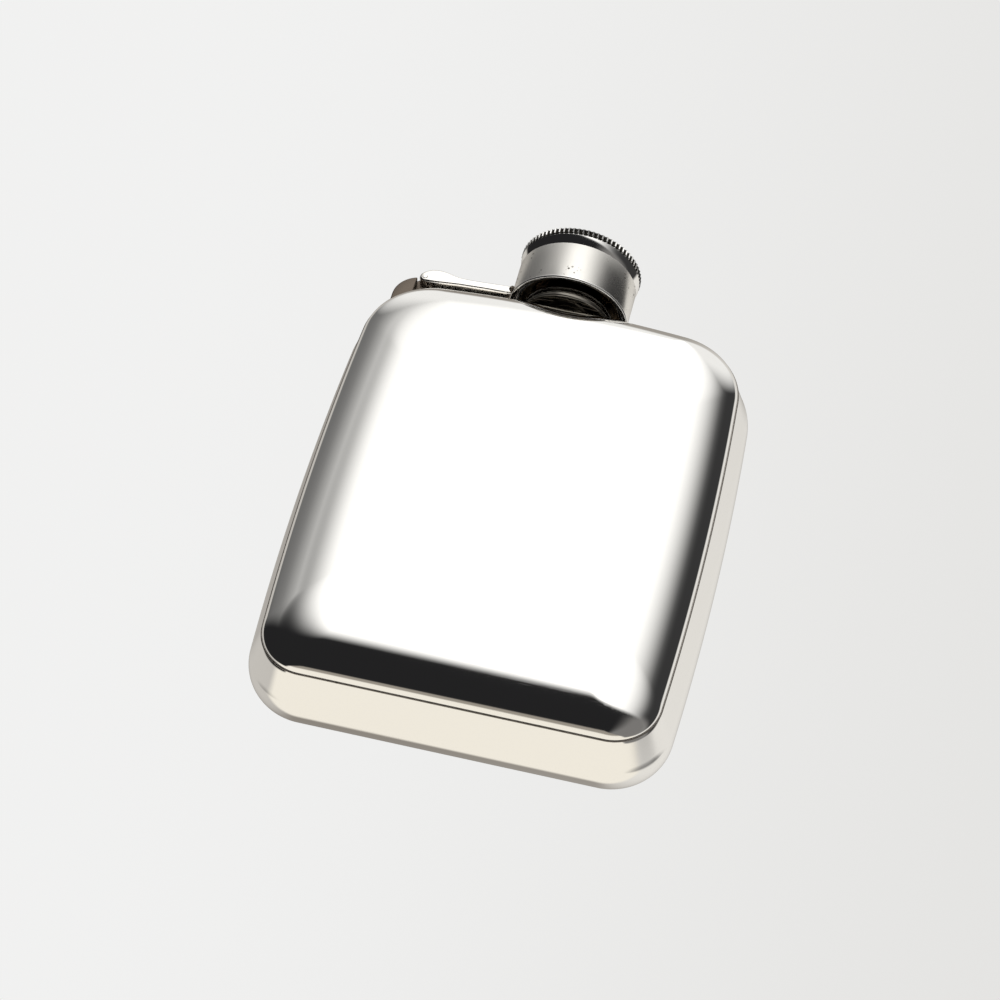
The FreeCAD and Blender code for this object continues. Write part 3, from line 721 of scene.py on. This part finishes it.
FLOOR_RADIUS, FADE_START, FADE_END = 0.7, 0.2, 0.66
floor_bm = bmesh.new()
bmesh.ops.create_circle(floor_bm, cap_ends=True, segments=128, radius=FLOOR_RADIUS)
floor_mesh = bpy.data.meshes.new("floor")
floor_bm.to_mesh(floor_mesh)
floor_bm.free()
floor = bpy.data.objects.new("floor", floor_mesh)
floor.location.z = -0.3 * MM
bpy.context.scene.collection.objects.link(floor)
floor.visible_glossy = False


def floor_material():
    """Pale card, seen only from above, that fades away towards its rim."""
    material = bpy.data.materials.new("pale_card")
    material.use_nodes = True
    nodes, links = material.node_tree.nodes, material.node_tree.links
    shader = nodes["Principled BSDF"]
    shader.inputs["Base Color"].default_value = (0.80, 0.79, 0.78, 1)
    shader.inputs["Roughness"].default_value = 0.9
    shader.inputs["Specular IOR Level"].default_value = 0.1
    facing = nodes.new("ShaderNodeNewGeometry")
    where = nodes.new("ShaderNodeTexCoord")
    length = nodes.new("ShaderNodeVectorMath")
    length.operation = "LENGTH"
    clear = nodes.new("ShaderNodeBsdfTransparent")
    mix = nodes.new("ShaderNodeMixShader")
    links.new(where.outputs["Object"], length.inputs[0])
    maths, step = node_maths(material.node_tree), node_step(material.node_tree)
    faded = step(length.outputs["Value"], FADE_START, FADE_END)
    hidden = maths("MAXIMUM", faded, facing.outputs["Backfacing"])
    links.new(hidden, mix.inputs["Fac"])
    links.new(shader.outputs["BSDF"], mix.inputs[1])
    links.new(clear.outputs["BSDF"], mix.inputs[2])
    links.new(mix.outputs["Shader"], nodes["Material Output"].inputs["Surface"])
    return material


floor_mesh.materials.append(floor_material())
key = bpy.data.objects.new("key", bpy.data.lights.new("key", "AREA"))
key.data.shape, key.data.size, key.data.energy = "DISK", 0.7, 5.0
key.location = (-0.3, -0.5, 0.9)
key.rotation_euler = Vector((0.3, 0.5, -0.85)).to_track_quat("-Z", "Y").to_euler()
key.visible_glossy = False
bpy.context.scene.collection.objects.link(key)


def studio():
    """The room as its directions: soft light in front and above, table behind, dark all about."""
    world = bpy.data.worlds.new("studio")
    bpy.context.scene.world = world
    world.use_nodes = True
    nodes, links = world.node_tree.nodes, world.node_tree.links
    way = nodes.new("ShaderNodeTexCoord")
    axes = nodes.new("ShaderNodeSeparateXYZ")
    links.new(way.outputs["Generated"], axes.inputs["Vector"])
    x, y, z = axes.outputs

    maths, step = node_maths(world.node_tree), node_step(world.node_tree)

    def mixed(share, first, second):
        made = nodes.new("ShaderNodeMix")
        made.data_type = "RGBA"
        for socket, value in (("Factor", share), ("A", first), ("B", second)):
            if isinstance(value, tuple):
                made.inputs[socket].default_value = (*value, 1)
            else:
                links.new(value, made.inputs[socket])
        return made.outputs["Result"]

    def graded(value, low, high, *stops):
        """A value's share of the way from low to high, looked up in stops of (share, level)."""
        share = nodes.new("ShaderNodeMapRange")
        share.inputs["From Min"].default_value, share.inputs["From Max"].default_value = low, high
        links.new(value, share.inputs["Value"])
        made = nodes.new("ShaderNodeValToRGB")
        made.color_ramp.interpolation = "B_SPLINE"
        points = made.color_ramp.elements
        while len(points) < len(stops):
            points.new(0.5)
        for point, (place, level) in zip(points, stops):
            point.position, point.color = place, (level, level, level, 1)
        links.new(share.outputs["Result"], made.inputs["Fac"])
        return made.outputs["Color"]

    azimuth = maths("ARCTAN2", x, maths("MULTIPLY", y, -1.0))
    low_down = maths("MAXIMUM", maths("SUBTRACT", 0.5, z), 0.0)
    on_left = step(azimuth, -0.85, -0.38, 1.0, 0.0)
    leaning = maths("SUBTRACT", azimuth, maths("MULTIPLY", maths("MULTIPLY", low_down, on_left), 1.9))
    side = graded(leaning, radians(-100), radians(80), (0.0, 0.10), (0.16, 0.12), (0.27, 0.25), (0.36, 0.50),
                  (0.45, 0.95), (0.50, 1.0), (0.61, 1.0), (0.69, 0.68), (0.78, 0.25), (0.87, 0.015))
    border = maths("ADD", z, maths("ADD", maths("MULTIPLY", azimuth, 0.20), 0.09))
    blur = maths("MULTIPLY", step(azimuth, -0.75, 0.05, 0.9, 0.1), step(azimuth, -0.95, -0.62, 0.3, 1.0))
    above = step(maths("DIVIDE", border, blur), 0.0, 1.0)
    soft = maths("MULTIPLY", above, maths("MAXIMUM", side, step(z, 0.70, 0.93, 0.0, 0.62)))
    glow = maths("MULTIPLY", step(azimuth, 0.30, 0.80), step(z, -0.30, -0.05, 1.0, 0.0))
    dark = mixed(glow, (0.017, 0.017, 0.018), (0.20, 0.195, 0.19))
    front = mixed(soft, dark, (1.45, 1.45, 1.43))
    cream = mixed(step(y, -0.06, 0.10), (0.33, 0.30, 0.26), (0.93, 0.89, 0.80))
    edge = mixed(graded(x, -0.7, 0.7, (0.0, 0.62), (0.2, 0.50), (0.34, 0.16), (0.44, 0.20), (0.60, 0.62),
                        (0.8, 0.86), (1.0, 0.95)), (0.14, 0.115, 0.09), (0.86, 0.845, 0.81))
    table = mixed(step(z, -0.60, -0.40), cream, edge)
    under = step(z, -0.97, -0.75, 0.38, 0.0)
    sideways = maths("MULTIPLY", maths("ABSOLUTE", x), 0.5)
    behind = step(maths("SUBTRACT", maths("ADD", y, under), sideways), -0.02, 0.12)
    room = mixed(behind, front, table)
    reflected = nodes.new("ShaderNodeBackground")
    links.new(room, reflected.inputs["Color"])
    backdrop = nodes.new("ShaderNodeBackground")
    links.new(mixed(step(x, -0.25, 0.15), (0.88, 0.88, 0.875), (0.77, 0.765, 0.75)), backdrop.inputs["Color"])
    light = nodes.new("ShaderNodeLightPath")
    sharp = maths("MAXIMUM", light.outputs["Is Camera Ray"], light.outputs["Is Diffuse Ray"])
    mix = nodes.new("ShaderNodeMixShader")
    links.new(sharp, mix.inputs["Fac"])
    links.new(reflected.outputs["Background"], mix.inputs[1])
    links.new(backdrop.outputs["Background"], mix.inputs[2])
    links.new(mix.outputs["Shader"], nodes["World Output"].inputs["Surface"])


studio()
